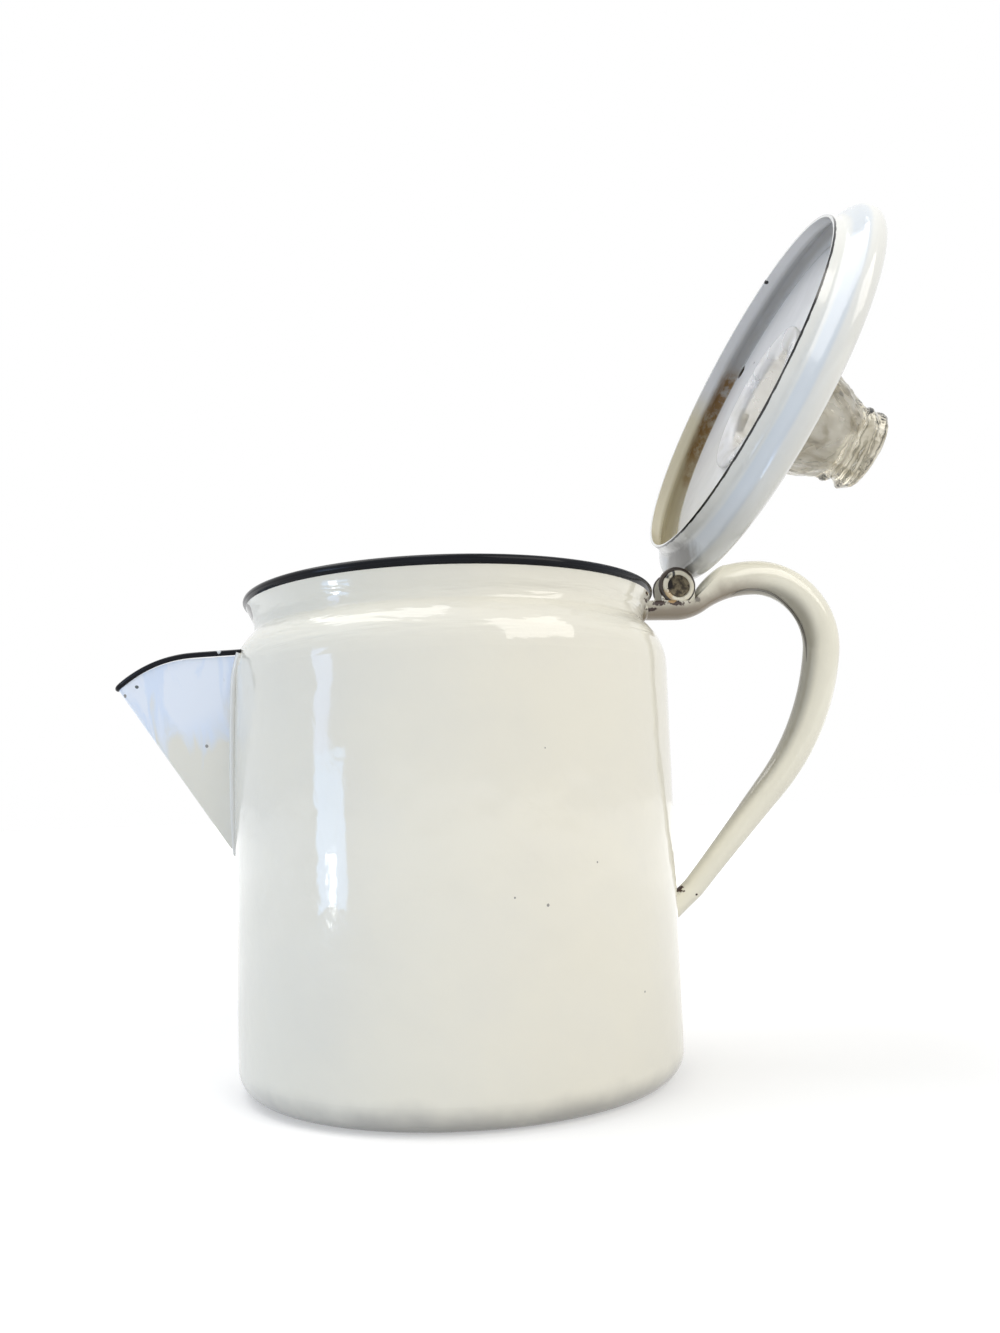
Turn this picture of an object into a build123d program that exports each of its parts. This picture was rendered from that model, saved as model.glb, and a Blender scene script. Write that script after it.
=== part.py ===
from build123d import *
from math import atan2, cos, degrees, pi, radians, sin, tan
import os

os.makedirs("parts", exist_ok=True)

# Driving dimensions, in millimetres and degrees.
# Origin: centre of the resting ring. +Z up, spout towards -X, handle and hinge towards +X.

# Pot body: drawn steel sheet with enamel on both sides
sheet = 1.0
body_radius = 68.0
wall_lean = 0.65
base_corner = 7.8
ring_width = 10.2
base_rise = 1.5
base_step = 3.0
shoulder_below_rim = 24.15
shoulder_arc = 17.6
shoulder_turn = 45.0
neck_inset = 5.4
neck_fillet = 1.6
neck_land = 1.3
flare_arc = 5.0
flare_turn = 25.0

# Rolled rim bead of the mouth
rim_height = 148.15
rim_bead_inset = 1.19
rim_bead_radius = 1.5

# Strainer holes behind the spout
strainer_hole_radius = 2.2
strainer_above_apex = 20.1
strainer_row_pitch = 10.0
strainer_hole_pitch = 6.6
strainer_rows = 4

# Spout: a folded V that grows from a point on the wall; its keel rises this much per unit out
spout_mouth_below_rim = 16.95
spout_depth = 61.3
spout_keel_slope = 1.474
spout_half_width = 16.5
spout_nose_radius = 3.0
spout_point_rise = 2.0
spout_cavity_rise = 11.1
spout_level_reach = 12.0
spout_tip_reach = 38.0
spout_tip_drop = 10.3
spout_core_depth = 12.0
spout_trim = 5.0
spout_rim_height = 1.8
spout_rim_overhang = 0.7

# Handle: rolled tube that tapers to its lower end
handle_root_below_rim = 0.15
handle_root_reach = 9.0
handle_root_radius = 5.6
handle_grip_radius = 5.85
handle_bend_radius = 6.15
handle_back_radius = 5.0
handle_foot_radius = 3.6
handle_rise_arc = 14.0
handle_hump_arc = 39.0
handle_rise_turn = 34.0
handle_bend_arc = 22.7
handle_bend_turn = 98.2
handle_back_arc = 85.0
handle_back_turn = 34.0
handle_lower_run = 43.5
handle_foot_arc = 15.0
handle_foot_turn = 8.3
handle_foot_run = 12.0
trough_reach = 14.0
trough_cut_lean = 47.0

# Hinge
hinge_reach = 9.2
hinge_above_rim = 4.95
pin_radius = 1.8
pin_clearance = 0.06
pin_head_radius = 3.7
pin_head_thickness = 0.9
bracket_sheet = 1.1
ear_radius = 5.7
knuckle_radius = 3.3
tongue_gap = 0.3
tongue_sheet = 1.6
lid_open_angle = 115.6

# Lid: heights are measured up from the skirt's edge when the lid is closed
lid_sheet = 0.9
skirt_inset = 2.4
lid_gap = 0.4
lid_edge_below_pin = 7.73
seat_turn = 60.0
flange_slope_run = 5.28
lid_height = 15.57
flange_inner_turn = 60.0
plate_fillet = 5.0
plate_rise = 2.0
vent_radius = 1.8
vent_angle = 126.0
vent_inset = 9.6

# Glass knob
knob_hole_radius = 21.4
knob_hole_gap = 0.4
knob_flange_radius = 27.0
knob_flange_thickness = 2.0
knob_flange_gap = 0.4
knob_glass = 3.0
knob_neck_height = 3.5
knob_throat_height = 1.0
knob_shoulder_radius = 17.6
knob_shoulder_height = 35.5
knob_waist_radius = 13.4
knob_waist_height = 46.8
knob_disc_radius = 15.6
knob_disc_lip = 1.0
knob_disc_rise = 3.0
knob_disc_thickness = 4.0
knob_height = 55.6
lug_reach = 2.2
lug_width = 8.0
lug_thickness = 2.0
lug_gap = 0.35
lug_notch_gap = 0.6

# Pump: foot, stem and valve
pump_floor_gap = 0.3
pump_sheet = 0.9
foot_radius = 30.0
foot_skirt_height = 2.0
foot_bend = 6.0
foot_bend_turn = 75.0
foot_throat_bend = 5.0
chamber_radius = 6.4
chamber_height = 5.2
collar_height = 8.0
foot_notch_radius = 2.5
foot_notch_count = 4
stem_radius = 4.75
stem_wall = 0.8
stem_above_rim = 15.5
stem_slot_width = 1.8
stem_slot_height = 2.6
stem_slot_count = 3
seat_thickness = 1.2
seat_hole_radius = 2.5
washer_radius = 5.0
washer_thickness = 0.8
washer_gap = 0.3
washer_travel = 1.5
washer_stop_gap = 0.3

# Coffee basket
basket_below_rim = 64.15
basket_radius = 48.0
basket_depth = 46.0
basket_sheet = 0.8
basket_corner = 4.0
basket_edge_bead = 1.1
basket_seat_gap = 0.3
stop_radius = 7.5
stop_thickness = 3.0
stop_chamfer = 0.6
sleeve_gap = 0.3
sleeve_wall = 0.8
sleeve_top_gap = 0.4
hole_radius = 1.2
hole_rings = 3
hole_ring_first = 14.0
hole_ring_pitch = 9.5
hole_spacing = 8.5

# Basket lid
spreader_gap = 0.3
spreader_dish_depth = 3.4
spreader_dish_radius = 44.0
spreader_side_run = 1.5
spreader_collar_height = 4.0

# Places that follow from the sizes above
ring_inner_radius = body_radius - base_corner - ring_width
shoulder_start = rim_height - shoulder_below_rim
neck_radius = body_radius - neck_inset
spout_mouth_height = rim_height - spout_mouth_below_rim
spout_apex_height = spout_mouth_height - spout_depth
handle_root_height = rim_height - handle_root_below_rim
handle_root_end = body_radius + handle_root_reach
hinge_x = body_radius + hinge_reach
hinge_height = rim_height + hinge_above_rim


# Pot outline, from the centre of the floor out and up to the lip
def pot_outline():
    floor = Line((0, base_rise), (ring_inner_radius - base_step, base_rise))
    step = Line(floor @ 1, (ring_inner_radius, 0))
    ring = Line(step @ 1, (body_radius - base_corner, 0))
    corner = JernArc(ring @ 1, (1, 0), base_corner, 90 - wall_lean)
    wall_run = (shoulder_start - (corner @ 1).Y) / cos(radians(wall_lean))
    wall = PolarLine(corner @ 1, wall_run, direction=corner % 1)
    shoulder = JernArc(wall @ 1, wall % 1, shoulder_arc, shoulder_turn)
    slope = radians(shoulder_turn - wall_lean)
    slope_run = ((shoulder @ 1).X - neck_fillet * (1 - cos(slope)) - neck_radius) / sin(slope)
    slant = PolarLine(shoulder @ 1, slope_run, direction=shoulder % 1)
    hollow = JernArc(slant @ 1, slant % 1, neck_fillet, -degrees(slope))
    neck = PolarLine(hollow @ 1, neck_land, direction=hollow % 1)
    flare = JernArc(neck @ 1, neck % 1, flare_arc, -flare_turn)
    lip_run = (rim_height - (flare @ 1).Y) / cos(radians(flare_turn))
    lip = PolarLine(flare @ 1, lip_run, direction=flare % 1)
    return [floor, step, ring, corner, wall, shoulder, slant, hollow, neck, flare, lip]


# The pot as a filled solid, used to cut pieces that fit against its outside
with BuildPart() as pot_filled:
    with BuildSketch(Plane.XZ):
        with BuildLine() as filled_line:
            edges = pot_outline()
            Polyline(edges[-1] @ 1, (0, rim_height), (0, base_rise))
        make_face()
    revolve(axis=Axis.Z)

rim_radius = (edges[-1] @ 1).X - rim_bead_inset

# Rolled rim bead: a black ring that closes the lip
with BuildPart() as rim_bead:
    with BuildSketch(Plane.XZ):
        with Locations((rim_radius, rim_height)):
            Circle(rim_bead_radius)
    revolve(axis=Axis.Z)

# Pot body
with BuildPart() as pot_body:
    with BuildSketch(Plane.XZ):
        with BuildLine() as wall_line:
            pot_outline()
            offset(amount=sheet, side=Side.LEFT)
        make_face()
    revolve(axis=Axis.Z)
    add(rim_bead.part, mode=Mode.SUBTRACT)
    for row in range(strainer_rows):
        row_height = spout_apex_height + strainer_above_apex + row * strainer_row_pitch
        with BuildSketch(Plane.YZ.offset(-body_radius - base_corner)):
            for hole in range(row + 1):
                with Locations(((hole - row / 2) * strainer_hole_pitch, row_height)):
                    Circle(strainer_hole_radius)
        extrude(amount=2 * base_corner, mode=Mode.SUBTRACT)


# Radius of the leaning wall where the spout's keel starts
spout_root_radius = body_radius + (spout_apex_height - base_corner) * tan(radians(wall_lean))


# One level section of the spout, a V with a round nose; inset moves its walls inwards
def spout_section(height, inset):
    rise = height - spout_apex_height
    full_rise = spout_mouth_height - spout_apex_height
    scale_here = rise / full_rise
    nose = spout_nose_radius * scale_here
    keel = -spout_root_radius - rise / spout_keel_slope
    half_width = spout_half_width * scale_here
    flank = atan2(half_width, nose - spout_root_radius - keel)
    point = keel - nose * (1 / sin(flank) - 1)
    back = spout_core_depth - body_radius
    back_half = (back - point) * tan(flank)
    with BuildSketch(Plane.XY.offset(height)) as section:
        with BuildLine():
            Polyline((back, -back_half), (point, 0), (back, back_half), close=True)
        make_face()
        fillet(section.vertices().sort_by(Axis.X)[0], nose)
        if inset:
            offset(amount=-inset, mode=Mode.REPLACE)
    return section


# The region under the line of the spout's mouth, which droops towards the tip
def mouth_profile(drop):
    with BuildSketch(Plane.XZ) as profile:
        with BuildLine():
            top = spout_mouth_height - drop
            level = Line((0, top), (-body_radius - spout_level_reach, top))
            tip = (-body_radius - spout_tip_reach, top - spout_tip_drop)
            droop = TangentArc(level @ 1, tip, tangent=(-1, 0))
            beyond = PolarLine(droop @ 1, 2 * spout_trim, direction=droop % 1)
            Polyline(beyond @ 1, ((beyond @ 1).X, 0), (0, 0), level @ 0)
        make_face()
    return profile


spout_top = spout_mouth_height + spout_trim
spout_low = spout_apex_height + spout_point_rise
spout_cavity_start = spout_apex_height + spout_cavity_rise

# Spout shell: outside, hollow, trimmed to the pot and to the mouth line
with BuildPart() as spout_shell:
    loft([spout_section(spout_low, 0).sketch, spout_section(spout_top, 0).sketch])
    loft(
        [spout_section(spout_cavity_start, sheet).sketch, spout_section(spout_top, sheet).sketch],
        mode=Mode.SUBTRACT,
    )
    add(pot_filled.part, mode=Mode.SUBTRACT)
    extrude(mouth_profile(spout_rim_height).sketch, amount=body_radius, both=True, mode=Mode.INTERSECT)

# Black rim of the spout: the top band, a little thicker than the shell
with BuildPart() as spout_rim:
    loft(
        [
            spout_section(spout_cavity_start, -spout_rim_overhang).sketch,
            spout_section(spout_top, -spout_rim_overhang).sketch,
        ]
    )
    loft(
        [spout_section(spout_cavity_start, sheet).sketch, spout_section(spout_top, sheet).sketch],
        mode=Mode.SUBTRACT,
    )
    add(pot_filled.part, mode=Mode.SUBTRACT)
    extrude(mouth_profile(0).sketch, amount=body_radius, both=True, mode=Mode.INTERSECT)
    extrude(mouth_profile(spout_rim_height).sketch, amount=body_radius, both=True, mode=Mode.SUBTRACT)

# Handle centre line in the XZ plane, from the neck out, over the grip and down to the wall
with BuildLine(Plane.XZ) as handle_line:
    rise = JernArc(
        (handle_root_end, handle_root_height), (1, 0), handle_rise_arc, handle_rise_turn
    )
    hump = JernArc(rise @ 1, rise % 1, handle_hump_arc, -handle_rise_turn)
    bend = JernArc(hump @ 1, hump % 1, handle_bend_arc, -handle_bend_turn)
    back = JernArc(bend @ 1, bend % 1, handle_back_arc, -handle_back_turn)
    lower = PolarLine(back @ 1, handle_lower_run, direction=back % 1)
    foot = JernArc(lower @ 1, lower % 1, handle_foot_arc, -handle_foot_turn)
    tail = PolarLine(foot @ 1, handle_foot_run, direction=foot % 1)
handle_path = handle_line.wires()[0]


# Round sections of the handle tube along its centre line
def handle_sections(inset):
    stations = [
        (rise @ 0, rise % 0, handle_root_radius),
        (hump @ 1, hump % 1, handle_grip_radius),
        (bend @ 1, bend % 1, handle_bend_radius),
        (back @ 1, back % 1, handle_back_radius),
        (tail @ 1, tail % 1, handle_foot_radius),
    ]
    sections = []
    for place, direction, radius in stations:
        with BuildSketch(Plane(origin=place, z_dir=direction)) as section:
            Circle(radius - inset)
        sections.append(section.sketch)
    return sections


# Handle tube, hollow, opened on top at its root to make the hinge trough
with BuildPart() as handle_tube:
    with BuildSketch(Plane.YZ.offset(neck_radius)):
        with Locations((0, handle_root_height)):
            Circle(handle_root_radius)
    extrude(amount=handle_root_end - neck_radius)
    sweep(handle_sections(0), path=handle_path, multisection=True)
    with BuildSketch(Plane.YZ.offset(neck_radius)):
        with Locations((0, handle_root_height)):
            Circle(handle_root_radius - sheet)
    extrude(amount=handle_root_end - neck_radius, mode=Mode.SUBTRACT)
    sweep(handle_sections(sheet), path=handle_path, multisection=True, mode=Mode.SUBTRACT)
    add(pot_filled.part, mode=Mode.SUBTRACT)
    add(rim_bead.part, mode=Mode.SUBTRACT)
    trough_end = body_radius + trough_reach
    cut_height = 3 * handle_root_radius
    with BuildSketch(Plane.XZ):
        with BuildLine():
            Polyline(
                (0, rim_height),
                (trough_end, rim_height),
                (trough_end + cut_height * tan(radians(trough_cut_lean)), rim_height + cut_height),
                (0, rim_height + cut_height),
                close=True,
            )
        make_face()
    extrude(amount=2 * handle_root_radius, both=True, mode=Mode.SUBTRACT)

bracket_half_width = handle_root_radius - sheet

# Hinge bracket: a U of sheet in the trough, its sides cut to round ears
with BuildPart() as hinge_bracket:
    with BuildSketch(Plane.YZ.offset(hinge_x - 2 * ear_radius)):
        with Locations((0, handle_root_height)):
            Circle(bracket_half_width)
            with Locations((0, ear_radius)):
                Rectangle(2 * bracket_half_width, 2 * ear_radius)
            Circle(bracket_half_width - bracket_sheet, mode=Mode.SUBTRACT)
            with Locations((0, 2 * ear_radius)):
                Rectangle(
                    2 * (bracket_half_width - bracket_sheet), 4 * ear_radius, mode=Mode.SUBTRACT
                )
    extrude(amount=4 * ear_radius)
    with BuildSketch(Plane.XZ):
        with Locations((hinge_x, hinge_height)):
            Circle(ear_radius)
        with Locations((hinge_x, hinge_height - ear_radius)):
            Rectangle(2 * ear_radius, 2 * ear_radius)
    extrude(amount=2 * bracket_half_width, both=True, mode=Mode.INTERSECT)
    with BuildSketch(Plane.XZ):
        with Locations((hinge_x, hinge_height)):
            Circle(pin_radius)
    extrude(amount=2 * bracket_half_width, both=True, mode=Mode.SUBTRACT)
    add(handle_tube.part, mode=Mode.SUBTRACT)

# Hinge pin with a flat head at each end
with BuildPart() as hinge_pin:
    with BuildSketch(Plane.XZ):
        with Locations((hinge_x, hinge_height)):
            Circle(pin_radius)
    extrude(amount=bracket_half_width, both=True)
    for side in (-1, 1):
        with BuildSketch(Plane.XZ.offset(side * bracket_half_width)):
            with Locations((hinge_x, hinge_height)):
                Circle(pin_head_radius)
        extrude(amount=side * pin_head_thickness)

# The lid stands open as made. Its pieces are drawn level about the lid's own centre, with
# heights from the skirt's edge, and then stood up at the hinge.
open_angle = radians(lid_open_angle)
lid_up = Vector(sin(open_angle), 0, cos(open_angle))
lid_out = Vector(cos(open_angle), 0, -sin(open_angle))
hinge_point = Vector(hinge_x, 0, hinge_height)
lid_centre = hinge_point - lid_out * hinge_x - lid_up * lid_edge_below_pin
lid_place = Location(Plane(origin=lid_centre, x_dir=lid_out, z_dir=lid_up))

lid_edge_height = hinge_height - lid_edge_below_pin
bead_above_edge = rim_height - lid_edge_height
seat_round = rim_bead_radius + lid_gap
seat_lean = radians(seat_turn)
flange_low = bead_above_edge + seat_round * sin(seat_lean) + flange_slope_run * cos(seat_lean)
flange_round = (lid_height - flange_low) / (1 + sin(seat_lean))
seat_end = rim_radius - seat_round * cos(seat_lean)
flange_centre = seat_end + flange_slope_run * sin(seat_lean) - flange_round * cos(seat_lean)


# Lid outline from the skirt's edge, out round the flange and in to the centre hole
def lid_outline():
    skirt_top = (rim_radius - seat_round, bead_above_edge)
    skirt = Line((rim_radius - skirt_inset, 0), skirt_top)
    seat = JernArc(skirt @ 1, (0, 1), seat_round, -seat_turn)
    land = PolarLine(seat @ 1, flange_slope_run, direction=seat % 1)
    edge = JernArc(land @ 1, land % 1, flange_round, 90 + seat_turn + flange_inner_turn)
    dip = JernArc(edge @ 1, edge % 1, plate_fillet, -flange_inner_turn - plate_rise)
    plate_run = ((dip @ 1).X - knob_hole_radius) / cos(radians(plate_rise))
    plate = PolarLine(dip @ 1, plate_run, direction=dip % 1)
    return [skirt, seat, land, edge, dip, plate]


# The lid as a filled solid, used to cut the strap that is welded to its outside
with BuildPart() as lid_filled:
    with BuildSketch(Plane.XZ):
        with BuildLine():
            edges = lid_outline()
            Polyline(edges[-1] @ 1, (0, (edges[-1] @ 1).Y), (0, 0), edges[0] @ 0)
        make_face()
    revolve(axis=Axis.Z)

plate_inner_height = (edges[-1] @ 1).Y
notch_reach = knob_hole_radius - knob_hole_gap + lug_reach + lug_notch_gap

# Lid shell with a vent hole and a centre hole that has two bayonet notches
with BuildPart() as level_lid_shell:
    with BuildSketch(Plane.XZ):
        with BuildLine():
            lid_outline()
            offset(amount=lid_sheet, side=Side.LEFT)
        make_face()
    revolve(axis=Axis.Z)
    with BuildSketch(Plane.XY.offset(plate_inner_height)):
        Rectangle(2 * notch_reach, lug_width + 2 * lug_notch_gap)
        with PolarLocations(rim_radius - vent_inset, 1, start_angle=vent_angle):
            Circle(vent_radius)
    extrude(amount=4 * lid_sheet, both=True, mode=Mode.SUBTRACT)

# Hinge strap: curls round the pin and lies on the lid flange
with BuildPart() as level_lid_tongue:
    with BuildSketch(Plane.XZ):
        with Locations((hinge_x, lid_edge_below_pin)):
            Circle(knuckle_radius)
        with BuildLine():
            strap_top = lid_edge_below_pin + knuckle_radius
            Polyline(
                (hinge_x, strap_top),
                (flange_centre, strap_top),
                (flange_centre, strap_top - tongue_sheet),
                (hinge_x, strap_top - tongue_sheet),
                close=True,
            )
        make_face()
    extrude(amount=bracket_half_width - bracket_sheet - tongue_gap, both=True)
    add(lid_filled.part, mode=Mode.SUBTRACT)
    with BuildSketch(Plane.XZ):
        with Locations((hinge_x, lid_edge_below_pin)):
            Circle(pin_radius + pin_clearance)
    extrude(amount=2 * bracket_half_width, both=True, mode=Mode.SUBTRACT)

plate_under_at_flange = plate_inner_height - lid_sheet - (knob_flange_radius - knob_hole_radius) * tan(
    radians(plate_rise)
)
flange_top_height = plate_under_at_flange - knob_flange_gap
knob_neck_radius = knob_hole_radius - knob_hole_gap

# Glass knob: flange under the lid, bell, waist and top disc, blown hollow from below
with BuildPart() as level_glass_knob:
    with BuildSketch(Plane.XZ):
        with BuildLine():
            Polyline(
                (0, flange_top_height - knob_flange_thickness),
                (knob_flange_radius, flange_top_height - knob_flange_thickness),
                (knob_flange_radius, flange_top_height),
                (knob_neck_radius, flange_top_height),
                (knob_neck_radius, flange_top_height + knob_neck_height),
            )
            bell = Spline(
                (knob_neck_radius, flange_top_height + knob_neck_height),
                (knob_shoulder_radius, knob_shoulder_height),
                (knob_waist_radius, knob_waist_height),
                tangents=((0, 1), (0, 1)),
            )
            disc_low = knob_waist_height + knob_disc_rise
            disc_inner = knob_disc_radius - knob_disc_lip
            cove = Line(bell @ 1, (disc_inner, disc_low))
            disc = ThreePointArc(
                cove @ 1,
                (knob_disc_radius, disc_low + knob_disc_thickness / 2),
                (disc_inner, disc_low + knob_disc_thickness),
            )
            crown = TangentArc((0, knob_height), disc @ 1, tangent=(1, 0))
            Line(crown @ 0, (0, flange_top_height - knob_flange_thickness))
        make_face()
    revolve(axis=Axis.Z)
    lug_under = plate_inner_height + lug_gap
    with BuildSketch(Plane.XY.offset(lug_under)):
        Rectangle(lug_width, 2 * (knob_neck_radius + lug_reach))
        Circle(knob_neck_radius - knob_glass / 2, mode=Mode.SUBTRACT)
    extrude(amount=lug_thickness)
    with BuildSketch(Plane.XZ):
        with BuildLine():
            inner_low = flange_top_height - knob_flange_thickness
            mouth = Line((0, inner_low), (knob_flange_radius - knob_glass, inner_low))
            throat_top = flange_top_height + knob_throat_height
            throat = Line(mouth @ 1, (knob_neck_radius - knob_glass, throat_top))
            hollow_side = Spline(
                throat @ 1,
                (knob_shoulder_radius - knob_glass, knob_shoulder_height),
                (knob_waist_radius - knob_glass, knob_waist_height - knob_glass),
            )
            Polyline(hollow_side @ 1, (0, knob_waist_height), (0, inner_low))
        make_face()
    revolve(axis=Axis.Z, mode=Mode.SUBTRACT)

with BuildPart() as lid_shell:
    with Locations(lid_place):
        add(level_lid_shell.part)

with BuildPart() as lid_tongue:
    with Locations(lid_place):
        add(level_lid_tongue.part)

with BuildPart() as glass_knob:
    with Locations(lid_place):
        add(level_glass_knob.part)

foot_bottom = base_rise + sheet + pump_floor_gap
foot_turn = radians(foot_bend_turn)
foot_bends = foot_bend + foot_throat_bend
foot_run = (foot_radius - chamber_radius - foot_bends * (1 - cos(foot_turn))) / sin(foot_turn)
foot_rise = foot_bends * sin(foot_turn) + foot_run * cos(foot_turn)
chamber_floor = foot_bottom + foot_skirt_height + foot_rise
seat_top = chamber_floor + seat_thickness
stem_bottom = seat_top + washer_gap + washer_thickness + washer_travel + washer_stop_gap
chamber_top = seat_top + chamber_height
collar_start = chamber_top + chamber_radius - stem_radius
foot_top = collar_start + collar_height

# Pump foot: flared skirt, valve chamber and the collar that grips the stem
with BuildPart() as pump_foot:
    with BuildSketch(Plane.XZ):
        with BuildLine():
            skirt = Line((foot_radius, foot_bottom), (foot_radius, foot_bottom + foot_skirt_height))
            bend = JernArc(skirt @ 1, (0, 1), foot_bend, foot_bend_turn)
            slope = PolarLine(bend @ 1, foot_run, direction=bend % 1)
            throat = JernArc(slope @ 1, slope % 1, foot_throat_bend, -foot_bend_turn)
            chamber = Line(throat @ 1, (chamber_radius, chamber_top))
            taper = Line(chamber @ 1, (stem_radius, collar_start))
            Line(taper @ 1, (stem_radius, foot_top))
            offset(amount=pump_sheet, side=Side.RIGHT)
        make_face()
    revolve(axis=Axis.Z)
    with PolarLocations(0, foot_notch_count):
        with Locations(Location((foot_radius, 0, foot_bottom), (0, 90, 0))):
            Cylinder(foot_notch_radius, 6 * pump_sheet, mode=Mode.SUBTRACT)

# Valve seat pressed into the chamber's floor
with BuildPart() as valve_seat:
    with BuildSketch(Plane.XY.offset(chamber_floor)):
        Circle(chamber_radius)
        Circle(seat_hole_radius, mode=Mode.SUBTRACT)
    extrude(amount=seat_thickness)

# Loose valve washer
with BuildPart() as valve_washer:
    with BuildSketch(Plane.XY.offset(seat_top + washer_gap)):
        Circle(washer_radius)
    extrude(amount=washer_thickness)

stem_top = rim_height + stem_above_rim

# Stem tube with slots at its lower end that let the water past the washer
with BuildPart() as stem_tube:
    with BuildSketch(Plane.XY.offset(stem_bottom)):
        Circle(stem_radius)
        Circle(stem_radius - stem_wall, mode=Mode.SUBTRACT)
    extrude(amount=stem_top - stem_bottom)
    with PolarLocations(stem_radius - stem_wall / 2, stem_slot_count):
        with Locations((0, 0, stem_bottom)):
            Box(3 * stem_wall, stem_slot_width, 2 * stem_slot_height, mode=Mode.SUBTRACT)

basket_floor_height = rim_height - basket_below_rim
stop_top = basket_floor_height - basket_seat_gap

# Collar on the stem that carries the basket
with BuildPart() as basket_stop:
    with BuildSketch(Plane.XY.offset(stop_top - stop_thickness)):
        Circle(stop_radius)
        Circle(stem_radius, mode=Mode.SUBTRACT)
    extrude(amount=stop_thickness)
    chamfer(basket_stop.edges().filter_by(GeomType.CIRCLE).sort_by(SortBy.RADIUS)[-2:], stop_chamfer)

sleeve_inner = stem_radius + sleeve_gap
sleeve_outer = sleeve_inner + sleeve_wall
basket_top = basket_floor_height + basket_depth


# Rings of small round holes for cutting up through a sheet that lies at this height
def hole_pattern(height):
    with BuildSketch(Plane.XY.offset(height - basket_sheet)) as pattern:
        for ring_number in range(hole_rings):
            ring_radius = hole_ring_first + ring_number * hole_ring_pitch
            hole_count = round(2 * pi * ring_radius / hole_spacing)
            with PolarLocations(ring_radius, hole_count):
                Circle(hole_radius)
    return pattern


# Basket: pierced floor, wall and rolled edge
with BuildPart() as basket_shell:
    with BuildSketch(Plane.XZ):
        with BuildLine():
            base = Line(
                (sleeve_outer, basket_floor_height), (basket_radius - basket_corner, basket_floor_height)
            )
            corner = JernArc(base @ 1, (1, 0), basket_corner, 90)
            Line(corner @ 1, (basket_radius, basket_top - basket_edge_bead))
            offset(amount=basket_sheet, side=Side.LEFT)
        make_face()
        with Locations((basket_radius, basket_top - basket_edge_bead)):
            Circle(basket_edge_bead)
    revolve(axis=Axis.Z)
    extrude(hole_pattern(basket_floor_height).sketch, amount=3 * basket_sheet, mode=Mode.SUBTRACT)

dish_height = basket_top + spreader_gap - spreader_dish_depth

# Centre tube of the basket
with BuildPart() as basket_sleeve:
    with BuildSketch(Plane.XY.offset(basket_floor_height)):
        Circle(sleeve_outer)
        Circle(sleeve_inner, mode=Mode.SUBTRACT)
    extrude(amount=dish_height - sleeve_top_gap - basket_floor_height)

# Basket lid: pierced dish with a flange on the basket's edge and a collar round the stem
with BuildPart() as basket_lid:
    with BuildSketch(Plane.XZ):
        with BuildLine():
            brim_height = dish_height + spreader_dish_depth
            collar = Line((sleeve_outer, dish_height + spreader_collar_height), (sleeve_outer, dish_height))
            dish = Line(collar @ 1, (spreader_dish_radius, dish_height))
            side = Line(dish @ 1, (spreader_dish_radius + spreader_side_run, brim_height))
            Line(side @ 1, (basket_radius + basket_edge_bead, brim_height))
            offset(amount=basket_sheet, side=Side.LEFT)
        make_face()
    revolve(axis=Axis.Z)
    extrude(hole_pattern(dish_height).sketch, amount=3 * basket_sheet, mode=Mode.SUBTRACT)

pieces = {
    "pot_body": pot_body,
    "rim_bead": rim_bead,
    "spout_shell": spout_shell,
    "spout_rim": spout_rim,
    "handle_tube": handle_tube,
    "hinge_bracket": hinge_bracket,
    "hinge_pin": hinge_pin,
    "lid_shell": lid_shell,
    "lid_tongue": lid_tongue,
    "glass_knob": glass_knob,
    "stem_tube": stem_tube,
    "pump_foot": pump_foot,
    "valve_seat": valve_seat,
    "valve_washer": valve_washer,
    "basket_stop": basket_stop,
    "basket_shell": basket_shell,
    "basket_sleeve": basket_sleeve,
    "basket_lid": basket_lid,
}
for name, piece in pieces.items():
    piece.part.label = name
    export_step(piece.part, f"parts/{name}.step")
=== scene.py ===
import math
import bpy
from mathutils import Matrix, Vector, noise


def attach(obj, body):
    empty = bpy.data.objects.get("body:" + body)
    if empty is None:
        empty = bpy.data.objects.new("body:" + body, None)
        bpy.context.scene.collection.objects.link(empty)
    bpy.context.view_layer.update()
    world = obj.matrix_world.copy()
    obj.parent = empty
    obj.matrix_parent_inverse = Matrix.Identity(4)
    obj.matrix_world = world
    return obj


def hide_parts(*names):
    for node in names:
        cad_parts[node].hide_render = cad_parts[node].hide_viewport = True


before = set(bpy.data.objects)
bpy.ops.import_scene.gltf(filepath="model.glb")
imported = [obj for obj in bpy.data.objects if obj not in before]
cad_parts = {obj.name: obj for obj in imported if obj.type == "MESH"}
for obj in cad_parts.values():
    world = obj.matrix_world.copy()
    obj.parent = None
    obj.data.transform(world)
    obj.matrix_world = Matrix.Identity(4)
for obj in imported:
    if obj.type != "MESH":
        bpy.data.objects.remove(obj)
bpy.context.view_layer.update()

# The room: a pale floor that the pot stands on and a plain white surround. A broad warm
# lamp stands front right, a neutral one overhead and a dim cool one at the left. Two
# window panes low at the left show as a blue-white strip in the glossy enamel.
mm = 0.001
stage_white = (0.6, 0.6, 0.6, 1)
surround_light = (0.46, 0.47, 0.48, 1)
plain_white = (1, 1, 1, 1)
floor_size = 30
floor_drop = 0.15 * mm


def put_inputs(tree, node, inputs):
    for key, value in inputs.items():
        if isinstance(value, bpy.types.NodeSocket):
            tree.links.new(value, node.inputs[key])
        else:
            node.inputs[key].default_value = value


def add_node(tree, kind, inputs, **settings):
    node = tree.nodes.new("ShaderNode" + kind)
    for name, value in settings.items():
        setattr(node, name, value)
    put_inputs(tree, node, inputs)
    return node


def calculate(tree, kind, *values):
    return add_node(tree, "Math", dict(enumerate(values)), operation=kind).outputs[0]


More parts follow.
